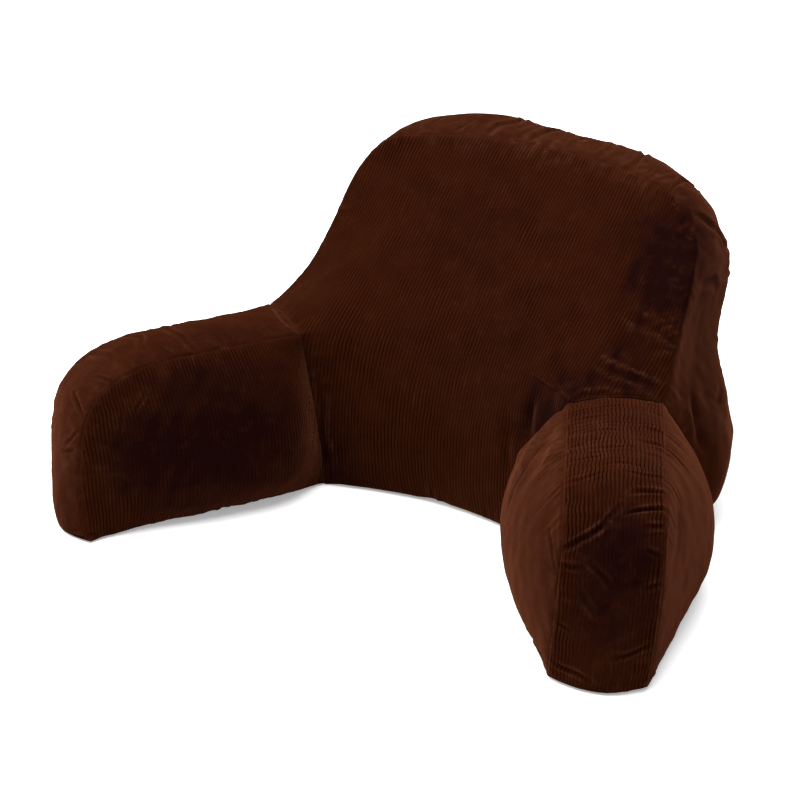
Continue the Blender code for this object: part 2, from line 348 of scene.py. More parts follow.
def back_pinned(number):
    """Say how firmly a corner of the back keeps its place."""
    column = abs(number[0] - BACK_MIDDLE)
    end_column = column in (BEND_COLUMN, BACK_MIDDLE)
    end_line = number[1] in (0, len(JOINT_LINES) - 1)
    return SHARP if in_joint(number) and end_column and end_line else 0.0

# %% Places of the corners of an arm
def arm_directions(lie):
    """Give the directions ahead along an arm and outwards from it, on the right-hand side."""
    splay = math.radians(lie["splay"])
    ahead = np.array([math.sin(splay), -math.cos(splay), 0.0])
    outwards = np.array([math.cos(splay), math.sin(splay), 0.0])
    return ahead, outwards


def arm_front_point(up, share, lie):
    """Place a corner on the front of an arm, at a share of the way across its strip."""
    ahead, outwards = arm_directions(lie)
    front = rows(FRONT_COLUMNS, FRONT_LINES)[up]
    level = up / ARM_CELLS[1]
    reach = lie["floor_reach"] + (lie["top_reach"] - lie["floor_reach"]) * level
    skew = lie["floor_skew"] + (lie["top_skew"] - lie["floor_skew"]) * level
    reach += front["push"] + front["crown"] * dome(share) + skew * share
    spot = np.array(JOINT_CORNERS[1]) + ahead * reach
    inset = front["inset"] + lie["floor_inset"] * (1.0 - level) ** 2
    spot += outwards * (STRIP_WIDTH * share - inset)
    spot[2] = front["z"] - lie["low"] * share * level
    return spot


def arm_side_point(along, up, share, lie):
    """Place a corner between the joint and the front of an arm."""
    ahead, outwards = arm_directions(lie)
    station = rows(ARM_COLUMNS, ARM_STATIONS)[along - 1]
    level, fullness = ARM_HEIGHTS[up]
    inner = -station["inner_floor"] * (1.0 - level) - station["inner_bulge"] * fullness
    outer = station["outer_floor"] * (1.0 - level) + station["outer_bulge"] * fullness
    offset = inner + (STRIP_WIDTH + outer - inner) * share
    reach = station["along"] * (lie["top_reach"] + lie["top_skew"] * share)
    spot = np.array(JOINT_CORNERS[1]) + ahead * reach + outwards * offset
    spot[2] = station["top_z"] * level
    if up == ARM_CELLS[1]:
        spot[2] += STRIP_CROWN * dome(share) - lie["low"] * share
    return spot


def arm_point(number, lie):
    """Place one corner of the cage of an arm, as if it were the right-hand one."""
    along, up, across = number
    share = across / ARM_CELLS[2]
    if along == 0:
        return joint_point(up, share) - joint_normal() * [SEAM_GAP, SEAM_GAP, 0.0]
    if along == ARM_CELLS[0]:
        return arm_front_point(up, share, lie)
    return arm_side_point(along, up, share, lie)


def arm_crease(first, second):
    """Say how sharp the edge between two corners of an arm is."""
    def both(axis, *values):
        return first[axis] == second[axis] and first[axis] in values

    along_side = both(2, 0, ARM_CELLS[2])
    if both(0, 0) and (along_side or both(1, 0, ARM_CELLS[1])):
        return SHARP
    if both(1, 0) and (along_side or both(0, ARM_CELLS[0])):
        return BASE_CREASE
    on_strip = [number[1] == ARM_CELLS[1] or number[0] == ARM_CELLS[0] for number in (first, second)]
    if along_side and all(on_strip):
        return SEAM_CREASE
    return 0.0


def arm_pinned(number):
    """Say how firmly a corner of an arm keeps its place."""
    corner = number[0] == 0 and number[1] in (0, ARM_CELLS[1]) and number[2] in (0, ARM_CELLS[2])
    return SHARP if corner else 0.0

# %% Smooth a cage and read it back as grids
def smooth_lattice(name, cells, place, crease, pinned):
    """Give the smoothed cage as an array of points with three cage numbers.

    The array holds a point for every FINE-th part of a cell, and only its outside is filled.
    """
    cage = box_cage(cells)
    shape_cage(cage, place, crease, pinned)
    mesh = bpy.data.meshes.new(name)
    cage.to_mesh(mesh)
    cage.free()
    form = bpy.data.objects.new(name, mesh)
    bpy.context.scene.collection.objects.link(form)
    smooth = form.modifiers.new("filled_form", "SUBSURF")
    smooth.levels = FINE_LEVELS
    smooth.render_levels = FINE_LEVELS
    fine = form.evaluated_get(bpy.context.evaluated_depsgraph_get()).to_mesh()
    count = len(fine.vertices)
    points = np.empty(count * 3, dtype=np.float32)
    fine.vertices.foreach_get("co", points)
    places = np.empty(count * 3, dtype=np.float32)
    fine.attributes["lattice"].data.foreach_get("vector", places)
    bpy.data.objects.remove(form, do_unlink=True)
    bpy.data.meshes.remove(mesh)
    index = np.rint(places.reshape(-1, 3) * FINE).astype(int)
    block = np.full([cell * FINE + 1 for cell in cells] + [3], np.nan)
    block[index[:, 0], index[:, 1], index[:, 2]] = points.reshape(-1, 3)
    return block


blocks = {"back": smooth_lattice("back_form", BACK_CELLS, back_point, back_crease, back_pinned)}
for arm_name, arm_lie in ARM_LIE.items():
    def arm_place(number, lie=arm_lie):
        return arm_point(number, lie) * [lie["side"], 1.0, 1.0]

    blocks[arm_name] = smooth_lattice(arm_name + "_form", ARM_CELLS, arm_place, arm_crease, arm_pinned)

every_point = np.concatenate([block.reshape(-1, 3) for block in blocks.values()])
own_middle = (np.nanmin(every_point, axis=0) + np.nanmax(every_point, axis=0)) / 2.0
box_middle = np.mean(solid_box, axis=0)
shift = (box_middle - own_middle) * [1.0, 1.0, 0.0]
for block in blocks.values():
    block += shift
print("forms moved by", shift.round(4), "to stand in the solids' box")

# %% [markdown]
# ## Panels
#
# A maker cuts flat panels and sews them edge to edge.  Here a panel is a grid of points taken
# from one or more sides of the smoothed box, laid so that its rows run across the cords and its
# columns along them.  Each panel also needs the direction that its cloth faces.

# %% Directions and lengths on a grid
def facing(points, middle):
    """Give the outward direction at each grid point: the cross product of its two slopes."""
    down, across = np.gradient(points, axis=(0, 1))
    normal = np.cross(down, across)
    size = np.linalg.norm(normal, axis=-1, keepdims=True)
    normal /= np.maximum(size, 1e-12)
    outwards = np.sum(normal * (points - middle), axis=-1).mean()
    return normal * (1.0 if outwards > 0.0 else -1.0)


def running_length(points, axis):
    """Give the length walked along one direction of a grid: a running sum of its steps."""
    steps = np.linalg.norm(np.diff(points, axis=axis), axis=-1)
    zero = np.zeros_like(np.take(steps, [0], axis=axis))
    return np.concatenate([zero, np.cumsum(steps, axis=axis)], axis=axis)


def unit(vectors):
    """Scale vectors to length one."""
    return vectors / np.maximum(np.linalg.norm(vectors, axis=-1, keepdims=True), 1e-12)


# %% Take the panels of the back from its block
back = blocks["back"]
back_middle = np.array([0.0, np.nanmean(back[..., 1]), 0.18])
JOINT_FINE = (len(JOINT_LINES) - 1) * FINE
LEFT_BEND = (BACK_MIDDLE - BEND_COLUMN) * FINE
RIGHT_BEND = (BACK_MIDDLE + BEND_COLUMN) * FINE

front = back[:, :, 0].transpose(1, 0, 2)
rear = back[:, :, -1].transpose(1, 0, 2)
boxing = np.concatenate([back[0], back[1:-1, -1], back[-1, ::-1]])
back_base = back[:, 0].transpose(1, 0, 2)
print("front panel grid", front.shape, "boxing strip grid", boxing.shape)

# %% Take the panels of an arm from its block
def arm_panels(block):
    """Give the panels of one arm as grids of points, cords running down their columns."""
    strip = np.concatenate([block[:, -1], block[-1, -2::-1]])
    return {
        "inner": block[:, :, 0].transpose(1, 0, 2),
        "outer": block[:, :, -1].transpose(1, 0, 2),
        "strip": strip,
        "base": block[:, 0].transpose(1, 0, 2),
        "joint": block[0].copy(),
    }


arms = {name: arm_panels(blocks[name]) for name in ARM_LIE}

# %% [markdown]
# ## Seams
#
# Where two panels meet, the stitches draw the cloth in and the filling pushes it up on either
# side.  A seam is kept as a row of points, each with the direction in which it is drawn in, the
# length walked along the seam, and how deep and how wide it is drawn.

# %% Describe a seam
def seam(points, inward, depth, width):
    """Keep a row of seam points with its inward directions, depth and width."""
    points = np.asarray(points)
    steps = np.linalg.norm(np.diff(points, axis=0), axis=-1)
    run = np.concatenate([[0.0], np.cumsum(steps)])
    return {
        "points": points,
        "inward": unit(inward),
        "run": run,
        "depth": np.full(len(points), depth),
        "width": np.full(len(points), width),
    }


def join_seams(seams):
    """Put several seams end to end, so that one search finds the nearest."""
    return {key: np.concatenate([one[key] for one in seams]) for key in seams[0]}


# Depth and width of each kind of seam: round the panels, round a joint on the back and on the arm's
# own end, and round the base.
STRIP_SEAM = (0.0011, 0.0036)
JOINT_SEAM = (0.0010, 0.0070)
ARM_END_SEAM = (0.0042, 0.0110)
BASE_SEAM = (0.0034, 0.0110)
DOWN = np.array([0.0, 0.0, -1.0])

# %% Seams of the back
boxing_facing = facing(boxing, back_middle)
front_facing = facing(front, back_middle)
rear_facing = facing(rear, back_middle)


def rim(grid):
    """Give the left, top and right borders of a grid as one row of points."""
    return np.concatenate([grid[:, 0], grid[-1, 1:-1], grid[::-1, -1]])


free_rim = slice(JOINT_FINE + 1, -JOINT_FINE - 1)
front_pull = -(rim(front_facing) + boxing_facing[:, 0])
rear_pull = -(rim(rear_facing) + boxing_facing[:, -1])
back_seams = [
    seam(boxing[free_rim, 0], front_pull[free_rim], *STRIP_SEAM),
    seam(boxing[1:-1, -1], rear_pull[1:-1], *STRIP_SEAM),
]
joint_patches = {
    "arm_left": front[:JOINT_FINE + 1, :LEFT_BEND + 1],
    "arm_right": front[:JOINT_FINE + 1, RIGHT_BEND:],
}


def joint_seams(patch, drawn):
    """Give the seams round a joint: each is drawn towards the middle of the joint."""
    middle = patch.mean(axis=(0, 1))
    borders = (patch[:, 0], patch[:, -1], patch[-1])
    return [seam(border, middle - border, *drawn) for border in borders]


for patch in joint_patches.values():
    back_seams += joint_seams(patch, JOINT_SEAM)
low_front = slice(LEFT_BEND + 1, RIGHT_BEND)
back_seams.append(seam(front[0, low_front], -(front_facing[0, low_front] + DOWN), *BASE_SEAM))
back_seams.append(seam(rear[0], -(rear_facing[0] + DOWN), *BASE_SEAM))
for side in (0, -1):
    row = back[side, 0]
    back_seams.append(seam(row[1:], -(boxing_facing[side][1:] + DOWN), *BASE_SEAM))
back_seams = join_seams(back_seams)
print("seam points on the back", len(back_seams["run"]))

# %% Seams of an arm
def arm_seams(panels, middle):
    """Give the seams of one arm: both edges of its strip, its joint and its base."""
    strip_facing = facing(panels["strip"], middle)
    seams = joint_seams(panels["joint"].transpose(1, 0, 2), ARM_END_SEAM)
    for side, column in (("inner", 0), ("outer", -1)):
        face = facing(panels[side], middle)
        border = np.concatenate([face[-1], face[-2::-1, -1]])
        pull = -(border + strip_facing[:, column])
        seams.append(seam(panels["strip"][1:, column], pull[1:], *STRIP_SEAM))
        seams.append(seam(panels[side][0, 1:], -(face[0, 1:] + DOWN), *BASE_SEAM))
    foot = panels["strip"][-1]
    seams.append(seam(foot, -(strip_facing[-1] + DOWN), *BASE_SEAM))
    return join_seams(seams)


# %% [markdown]
# ## Laying the cloth
#
# The cords of corduroy run straight in the cloth, so where a panel narrows they end at its seam.
# A wide panel's cords are therefore cut out by upright planes, and the planes are spaced so that
# along the panel's middle row there is one cord to each cord's width of cloth.  A strip's cords
# keep their distance from its middle line.  There are up to four columns to a cord, and any that
# would pass a seam are held on it.

# %% Sizes of the corduroy
CORD = 0.0046
CORD_HEIGHT = 0.0008
# How far a cord wavers sideways, and over what length; wrinkled cloth wavers over a shorter one.
WAVER = 0.0006
WAVER_LENGTH = 0.09
RUMPLE_LENGTH = 0.024


def waves(points, size, seed, count=10):
    """Give smooth unevenness from -1 to 1: a sum of sine waves in many directions."""
    rng = np.random.default_rng(seed)
    direction = unit(rng.normal(size=(count, points.shape[-1])))
    turn = 2.0 * math.pi / size * rng.uniform(0.6, 1.5, count)
    phase = rng.uniform(0.0, 2.0 * math.pi, count)
    total = np.sin(points @ (direction * turn[:, None]).T + phase).sum(axis=-1)
    return total / math.sqrt(count)


def planes_across(points, direction, middle_row, middle_column):
    """Give each point its length of cloth across the cords, by the plane that it lies in.

    The plane's place along the direction is looked up on the middle row, where the running
    length of cloth is known.
    """
    place = points @ np.asarray(direction)
    length = running_length(points[middle_row:middle_row + 1], 1)[0]
    at_row = place[middle_row]
    low, high = length[0], length[-1]
    across = np.interp(place, at_row, length)
    across += np.minimum(place - at_row[0], 0.0) + np.maximum(place - at_row[-1], 0.0)
    print("middle row", round(float(high - low), 3), "m of cloth")
    return across - length[middle_column]


def lines_across(points, middle_column):
    """Give each point its length of cloth from the middle line of a strip."""
    across = running_length(points, 1)
    return across - across[:, middle_column][:, None]


def lay_cords(points, normals, across, left, right, state):
    """Place columns at equal lengths of cloth on every row of a grid.

    across says how far each grid point lies from the middle line, and left and right give, for
    each row, the first and last column of the grid that the panel covers.  The state says how
    many columns a cord has and how far wrinkled cloth pushes its cords sideways.  The result has
    the place, the direction, the lengths across and along, and which points are held on a seam.
    """
    rows_here = np.arange(len(points))
    low = across[rows_here, left]
    high = across[rows_here, right]
    step = CORD / state["columns"]
    column = np.arange(math.floor(low.min() / step) - 1, math.ceil(high.max() / step) + 2) * step
    along = running_length(points, 0).mean(axis=1)
    flat = np.stack(np.broadcast_arrays(column[None, :], along[:, None]), axis=-1)
    wanted = column[None, :] + WAVER * waves(flat, size=WAVER_LENGTH, seed=3)
    wanted += state["rumple"] * waves(flat * [0.5, 1.0], size=RUMPLE_LENGTH, seed=4)
    held = (wanted <= low[:, None]) | (wanted >= high[:, None])
    wanted = np.clip(wanted, low[:, None], high[:, None])
    place = np.empty(wanted.shape + (3,))
    face = np.empty_like(place)
    for row in rows_here:
        for part in range(3):
            place[row, :, part] = np.interp(wanted[row], across[row], points[row, :, part])
            face[row, :, part] = np.interp(wanted[row], across[row], normals[row, :, part])
    return {"place": place, "face": unit(face), "cloth": flat, "held": held}


# %% Find the nearest seam point
BATCH = 4000


def nearest(points, targets):
    """Give for each point the distance to the nearest target and the target's number."""
    distance = np.empty(len(points))
    number = np.empty(len(points), dtype=int)
    for start in range(0, len(points), BATCH):
        part = points[start:start + BATCH]
        square = ((part[:, None, :] - targets[None, :, :]) ** 2).sum(axis=-1)
        best = square.argmin(axis=1)
        number[start:start + BATCH] = best
        distance[start:start + BATCH] = np.sqrt(square[np.arange(len(part)), best])
    return distance, number


# %% [markdown]
# ## Relief of the cloth
#
# On top of the smooth form come the cords, the pull of the seams with the puckers beside them,
# the lumps of loose filling, and the creases and pleats that its weight presses into the cloth.
# A cloth simulation would give creases too, but not these ones, so each is placed one by one in
# lengths of cloth, across from its panel's middle line and along from the panel's first row.

# %% Height of the cords and the creases
# How far a seam itself is drawn in, how high the cloth lifts and puckers beside it, and how uneven
# the filling is.
TUCK = 0.0005
LIP = 0.0004
PUCKER = 0.0008
LUMP = 0.0008
# The ridge beside a crease: its height as a share of the depth, and its place and width as a share
# of the crease's width.  A hollow wider than HOLLOW_WIDTH has none.
RIDGE_SHARE = 0.5
RIDGE_PLACE = 1.6
RIDGE_WIDTH = 0.7
HOLLOW_WIDTH = 0.008
# Creases are drawn this much narrower than the table says, and wander by this share of it.
CREASE_WIDTH = 0.7
CREASE_WANDER = 0.6
WANDER_LENGTH = 0.060
MILLIMETRE = 0.001
# In millimetres.
CREASE_COLUMNS = ("from_across", "from_along", "to_across", "to_along", "width", "depth")
CREASES = {
    "front_low": (
        (95, 105, 156, 200, 20, 5),
        (-150, 10, -163, 120, 7, 3),
        (-172, 150, -166, 40, 5, -2.2),
    ),
    "front_high": (
        (150, 2, 285, 2, 6, 3),
        (205, 50, 286, 12, 6, 3.4),
        (196, 66, 245, 44, 5, 1.6),
        (209, 115, 292, 86, 6, 3.4),
        (232, 132, 288, 116, 5, 1.8),
        (228, 205, 268, 192, 4.5, 1.8),
        (222, 240, 254, 232, 4.5, 1.6),
        (196, 292, 222, 280, 4, 2),
        (186, 306, 206, 300, 3.5, 1.5),
    ),
    "boxing": (
        (-84, 630, 50, 648, 6.5, 4.6),
        (-84, 586, 30, 592, 5.5, 3.2),
        (-60, 604, 10, 602, 4.5, 1.6),
        (-70, 616, -20, 622, 4.5, 1.4),
        (-84, 545, -40, 548, 3.5, 1.4),
        (-80, 490, -20, 500, 4, 1.4),
        (-84, 676, 40, 686, 5.5, 2.6),
        (-80, 716, 50, 724, 6, 2.6),
        (-84, 758, 60, 772, 6, 3),
        (-80, 800, -40, 804, 3, 1.4),
        (-84, 842, 30, 852, 5, 3),
        (-60, 905, 50, 930, 7, 3.6),
        (-50, 975, 40, 985, 7, 2.2),
        (-60, 1105, -45, 1190, 12, 4),
        (-20, 1120, 60, 1140, 8, 2.5),
        (-70, 330, 0, 325, 6, 2.2),
        (40, 770, 60, 830, 30, -4),
        (40, 900, 60, 965, 30, -4.5),
        (40, 1150, 40, 1220, 28, -3.5),
    ),
    "arm_left_inner": (
        (250, 196, 268, 168, 4, 1.8),
        (282, 180, 292, 150, 3.5, 1.4),
        (10, 150, 40, 110, 4, 1.6),
        (6, 105, 34, 75, 4, 1.4),
        (330, 12, 356, 30, 4, 2),
    ),
    "arm_left_outer": (
        (200, 190, 230, 120, 7, 2.2),
        (290, 120, 340, 60, 8, 2.2),
        (60, 180, 80, 90, 8, 2),
    ),
    "arm_left_strip": (
        (-56, 322, -10, 300, 4, 2.6),
        (-56, 262, -20, 276, 3.5, 2),
        (-50, 340, -28, 362, 4.5, 1.4),
        (-57, 11, 40, 11, 3.6, -1.4),
        (-40, 150, 40, 160, 6, 1.4),
        (-30, 205, 50, 198, 6, 1.8),
        (-20, 245, 50, 252, 5, 1.8),
        (-56, 360, -25, 372, 4, 1.4),
        (-56, 470, -20, 478, 3.5, 1.8),
    ),
    "arm_right_inner": (
        (40, 180, 140, 190, 38, -6.5),
        (120, 205, 150, 130, 9, 1.8),
        (290, 226, 332, 209, 4.5, 2.2),
        (300, 190, 345, 165, 5, 1.6),
        (250, 20, 330, 36, 6, 2),
    ),
    "arm_right_outer": (
        (250, 190, 330, 150, 8, 2.2),
        (300, 60, 352, 46, 5, 2.2),
        (80, 190, 120, 100, 9, 2),
    ),
    "arm_right_strip": (
        (-54, 52, 10, 44, 3.4, 0.9),
        (-50, 79, -4, 71, 3.6, 1.2),
        (-54, 103, 34, 92, 3.4, 0.8),
        (-46, 121, 4, 117, 3.6, 1.3),
        (-54, 149, 0, 140, 3.4, 1),
        (-34, 171, 20, 161, 4, 1.2),
        (-54, 193, -10, 186, 3.4, 1.4),
        (-20, 212, 40, 203, 3.6, 0.9),
        (-54, 236, -12, 226, 3.8, 1.4),
        (10, 226, 54, 220, 3.4, 1.6),
        (18, 257, 56, 247, 4.2, 3),
        (14, 287, 56, 281, 4.4, 4),
        (30, 306, 56, 301, 3.6, 2.6),
        (-56, 338, -8, 300, 4.8, 3),
        (-30, 322, 10, 272, 4.4, 1.6),
        (-56, 352, -30, 350, 4, 2.4),
        (-22, 344, 0, 372, 4, 2.2),
        (-36, 376, -10, 402, 4, 1.4),
        (36, 330, 56, 340, 3.6, 2.2),
        (38, 372, 56, 366, 3.4, 2),
        (12, 450, 56, 438, 4.4, 2.4),
        (-56, 470, -10, 482, 4, 2.6),
        (-56, 420, -40, 428, 3.4, 1.8),
    ),
}


def cord_height(cloth):
    """Give the height of the cords: a flat-topped hump between two narrow grooves."""
    share = np.mod(cloth[..., 0] / CORD, 1.0)
    return CORD_HEIGHT * (1.0 - np.abs(2.0 * share - 1.0) ** 4)


def crease_height(cloth, creases):
    """Give the depth of the creases pressed into a panel, by lengths of cloth.

    Each is a valley along a wandering line that fades out at both ends.  A narrow one has a low
    ridge along either side, and one with a depth below zero is a swelling.
    """
    height = np.zeros(len(cloth))
    sideways = [waves(cloth, size=WANDER_LENGTH, seed=seed) for seed in (21, 22)]
    wander = CREASE_WANDER * np.stack(sideways, axis=-1)
    for crease in rows(CREASE_COLUMNS, np.array(creases) * MILLIMETRE):
        start = np.array([crease["from_across"], crease["from_along"]])
        line = np.array([crease["to_across"], crease["to_along"]]) - start
        bent = cloth + crease["width"] * wander
        share = np.clip((bent - start) @ line / (line @ line), 0.0, 1.0)
        gap = np.linalg.norm(bent - start - share[:, None] * line, axis=-1)
        gap /= CREASE_WIDTH * crease["width"]
        fade = np.sqrt(np.maximum(np.sin(math.pi * np.clip(share, 0.02, 0.98)), 0.0))
        ridge = 0.0
        if crease["width"] < HOLLOW_WIDTH:
            ridge = RIDGE_SHARE * np.exp(-((gap - RIDGE_PLACE) / RIDGE_WIDTH) ** 2)
        height += crease["depth"] * fade * (ridge - np.exp(-gap ** 2))
    return height


# %% [markdown]
# ## State of the pile, with painted shade and highlight
#
# Pile is rubbed pale on ridges and on seams.  A painted highlight lightens the top, where the light
# from above falls and hands also rub the pile, and the top of the right arm and the front end of the
# left arm.  Painted shade darkens the hollows, the joints and the faces turned from the light,
# together with pile brushed the other way, and where the pile is pressed its cords hardly show.  These
# areas are listed one by one, and each point carries its own three numbers to the material.

# %% Areas of painted shade and highlight, and of dark, flat and worn pile
WORN_HEIGHT = 0.0011
# Above this height a painted highlight lightens the top, where the light from above falls, and also
# stands for pile rubbed there.
TOP_START = 0.372
TOP_FULL = 0.392
TOP_WEAR_AND_HIGHLIGHT = 0.45
DARK_BASE = 0.07
AREA_UNEVEN = 0.15
PILE_COLUMNS = ("x", "y", "z", "reach", "dark_pile_and_shade", "flat", "wear_and_highlight")
# The dark share of an area is painted shade in the hollows, the joints and on faces turned from the
# light, together with pile brushed the other way.  The worn share is a painted highlight on the right
# arm's top and the left arm's front end, and rubbed pile at the right arm's foot.
PILE_SHADE_AND_HIGHLIGHT_AREAS = {
    "left_arm_inner_middle": (-0.216, -0.196, 0.106, 0.098, 1.0, 0.4, 0.0),
    "left_arm_inner_end": (-0.285, -0.275, 0.105, 0.056, 0.7, 0.4, 0.0),
    "left_arm_end": (-0.372, -0.320, 0.105, 0.060, 0.0, 0.2, 0.35),
    "left_arm_end_corner": (-0.345, -0.260, 0.190, 0.040, 0.0, 0.0, 0.25),
    "left_joint": (-0.168, -0.062, 0.060, 0.028, 0.5, 0.0, 0.0),
    "left_fold_foot": (-0.150, -0.052, 0.020, 0.030, 0.7, 0.2, 0.0),
    "front_right_shoulder": (0.200, 0.145, 0.338, 0.042, 0.9, 0.6, 0.0),
    "front_right_side": (0.222, 0.110, 0.300, 0.040, 0.9, 0.6, 0.0),
    "front_right_waist": (0.215, 0.035, 0.240, 0.034, 0.6, 0.5, 0.0),
    "hollow_by_right_arm": (0.140, -0.035, 0.155, 0.048, 1.0, 0.2, 0.0),
    "above_right_arm": (0.225, 0.005, 0.205, 0.024, 0.7, 0.2, 0.0),
    "above_right_arm_corner": (0.178, -0.020, 0.195, 0.032, 0.9, 0.2, 0.0),
    "boxing_right": (0.240, 0.175, 0.280, 0.085, 0.9, 0.5, 0.0),
    "boxing_low_right": (0.265, 0.110, 0.150, 0.055, 0.6, 0.5, 0.0),
    "right_arm_top": (0.300, -0.165, 0.220, 0.075, 0.0, 0.0, 0.38),
    "right_arm_inner_side": (0.215, -0.215, 0.110, 0.070, 0.35, 0.0, 0.0),
    "right_arm_front": (0.382, -0.292, 0.172, 0.048, 0.9, 0.6, 0.0),
    "right_arm_front_low": (0.378, -0.324, 0.105, 0.056, 0.5, 0.85, 0.0),
    "right_arm_foot": (0.383, -0.332, 0.030, 0.045, 0.2, 0.75, 0.12),
    "front_middle": (-0.060, 0.120, 0.310, 0.070, 0.25, 0.0, 0.0),
    "front_lower_right": (0.060, 0.020, 0.220, 0.060, 0.25, 0.0, 0.0),
}


def pile_shade_and_highlight_areas(points):
    """Give the dark pile with painted shade, the flat pile, and the worn pile with painted highlight:
    soft round areas with uneven borders.
    """
    dark_pile_and_shade = DARK_BASE * (1.0 + waves(points, size=0.07, seed=31))
    state = {"dark_pile_and_shade": dark_pile_and_shade, "flat": 0.0, "wear_and_highlight": 0.0}
    uneven = 1.0 + AREA_UNEVEN * waves(points, size=0.030, seed=32)
    for area in rows(PILE_COLUMNS, PILE_SHADE_AND_HIGHLIGHT_AREAS.values()):
        gap = np.linalg.norm(points - [area["x"], area["y"], area["z"]], axis=-1) / area["reach"]
        cover = np.exp(-(gap * uneven) ** 2)
        for key in state:
            state[key] = state[key] + area[key] * cover
    return [np.clip(value, 0.0, 1.0) for value in state.values()]


# %% Put the relief together
# How far from a seam the cloth is free of it, the lip stands, the pile is rubbed, and the filling
# reaches its full unevenness.
FREE_REACH = 0.005
LIP_REACH = 0.010
RUB_REACH = 0.004
LUMP_REACH = 0.04


def raise_relief(laid, on_seam, seams, creases, cords):
    """Move laid cloth to its final places and note the state of its pile, with painted shade and
    highlight.

    Each point goes outwards by cord, lump, pucker, lip and crease, and inwards by the pull of
    the nearest seam, which dies away with the distance from it.
    """
    shape = laid["place"].shape
    points = laid["place"].reshape(-1, 3)
    face = laid["face"].reshape(-1, 3)
    cloth = laid["cloth"].reshape(-1, 2)
    distance, number = nearest(points, seams["points"])
    run = seams["run"][number]
    along_seam = np.stack([run, distance * 0.25], axis=-1)
    strength = 0.45 + 0.55 * np.clip(0.3 + waves(along_seam, size=0.10, seed=12), 0.0, 1.0)
    pull = seams["depth"][number] * strength * np.exp(-distance / seams["width"][number])
    free = np.clip(distance / FREE_REACH, 0.0, 1.0)
    free = free * free * (3.0 - 2.0 * free)
    beside = distance / LIP_REACH * np.exp(1.0 - distance / LIP_REACH)
    puckers = PUCKER * waves(along_seam, size=0.014, seed=11) * strength * beside
    pressed = crease_height(cloth, creases) * free
    # Dark pile with painted shade, flat pile, and wear with painted highlight, from the listed areas.
    dark_pile_and_shade, flat, area_wear_and_highlight = pile_shade_and_highlight_areas(points)
    shown = cords * (1.0 - flat) * (0.8 + 0.2 * waves(points, size=0.05, seed=8))
    shown = np.clip(shown, 0.0, 1.5) * free
    out = LIP * beside + puckers + pressed + cord_height(cloth) * shown
    out += LUMP * waves(points, size=0.13, seed=5) * np.clip(distance / LUMP_REACH, 0.0, 1.0)
    out += 0.5 * LUMP * waves(points, size=0.04, seed=6) * free
    pull += TUCK * strength * on_seam.reshape(-1)
    moved = points + face * out[:, None] + seams["inward"][number] * pull[:, None]
    moved[:, 2] = np.maximum(moved[:, 2], 0.0)
    rubbed = np.clip(waves(along_seam, size=0.03, seed=13) - 0.3, 0.0, 1.0)
    rubbed *= np.exp(-(distance / RUB_REACH) ** 2)
    # Wear is pile rubbed pale on ridges and along seams; the listed areas and the top add a painted
    # highlight where the light falls, partly rubbed pile as well.
    wear_and_highlight = np.clip((0.5 * puckers + pressed) / WORN_HEIGHT, 0.0, 1.0)
    wear_and_highlight += 0.8 * rubbed * strength + area_wear_and_highlight
    top = np.clip((points[:, 2] - TOP_START) / (TOP_FULL - TOP_START), 0.0, 1.0)
    wear_and_highlight += TOP_WEAR_AND_HIGHLIGHT * top * (0.7 + 0.3 * waves(points, size=0.02, seed=14))
    laid["pile"] = np.stack([np.clip(wear_and_highlight, 0.0, 1.0), dark_pile_and_shade, shown], axis=-1)
    return moved.reshape(shape)


# %% [markdown]
# ## From grids to covers
#
# Each grid becomes quads.  Quads that lie wholly on a seam have no area and are left out, and
# points in the same place are merged.  The panels of one form are joined to one cover, because
# the real panels are sewn together round one filling.

# %% Turn a laid grid into faces
MERGE_DISTANCE = 0.00002


def grid_faces(held):
    """Give the corner numbers of the quads of a grid, without those that lie on a seam."""
    height, width = held.shape
    number = np.arange(height * width).reshape(height, width)
    quads = np.stack([number[:-1, :-1], number[:-1, 1:], number[1:, 1:], number[1:, :-1]], axis=-1)
    flat = held[:-1, :-1] & held[:-1, 1:] & held[1:, 1:] & held[1:, :-1]
    return quads[~flat]


class Cover:
    """A cover that grows panel by panel and is then made one object."""

    def __init__(self, name):
        self.name = name
        self.points = []
        self.cloth = []
        self.pile = []
        self.faces = []
        self.count = 0

    def add(self, laid, placed, outwards):
        """Add one panel, with its faces turned outwards."""
        quads = grid_faces(laid["held"])
        corners = placed.reshape(-1, 3)[quads]
        normal = np.cross(corners[:, 2] - corners[:, 0], corners[:, 3] - corners[:, 1])
        if np.sum(normal * outwards.reshape(-1, 3)[quads[:, 0]]) < 0.0:
            quads = quads[:, ::-1]
        self.points.append(placed.reshape(-1, 3))
        self.cloth.append(laid["cloth"].reshape(-1, 2))
        self.pile.append(laid["pile"])
        self.faces.append(quads + self.count)
        self.count += laid["held"].size

    def finish(self, material):
        """Make the object, merge its doubled points and shade it smooth."""
        points = np.concatenate(self.points)
        cloth = np.concatenate(self.cloth)
        faces = np.concatenate(self.faces)
        mesh = bpy.data.meshes.new(self.name)
        mesh.from_pydata(points.tolist(), [], faces.tolist())
        pile = mesh.attributes.new("pile", "FLOAT_VECTOR", "POINT")
        pile.data.foreach_set("vector", np.concatenate(self.pile).reshape(-1).astype(np.float32))
        chart = mesh.uv_layers.new(name="cloth")
        chart.data.foreach_set("uv", cloth[faces.reshape(-1)].reshape(-1).astype(np.float32))
        work = bmesh.new()
        work.from_mesh(mesh)
        bmesh.ops.remove_doubles(work, verts=work.verts, dist=MERGE_DISTANCE)
        loose = [point for point in work.verts if not point.link_faces]
        bmesh.ops.delete(work, geom=loose, context="VERTS")
        work.to_mesh(mesh)
        work.free()
        mesh.shade_smooth()
        mesh.materials.append(material)
        cover = bpy.data.objects.new(self.name, mesh)
        bpy.context.scene.collection.objects.link(cover)
        triangles = sum(len(face.vertices) - 2 for face in mesh.polygons)
        print(self.name, len(mesh.vertices), "points", triangles, "triangles")
        return cover
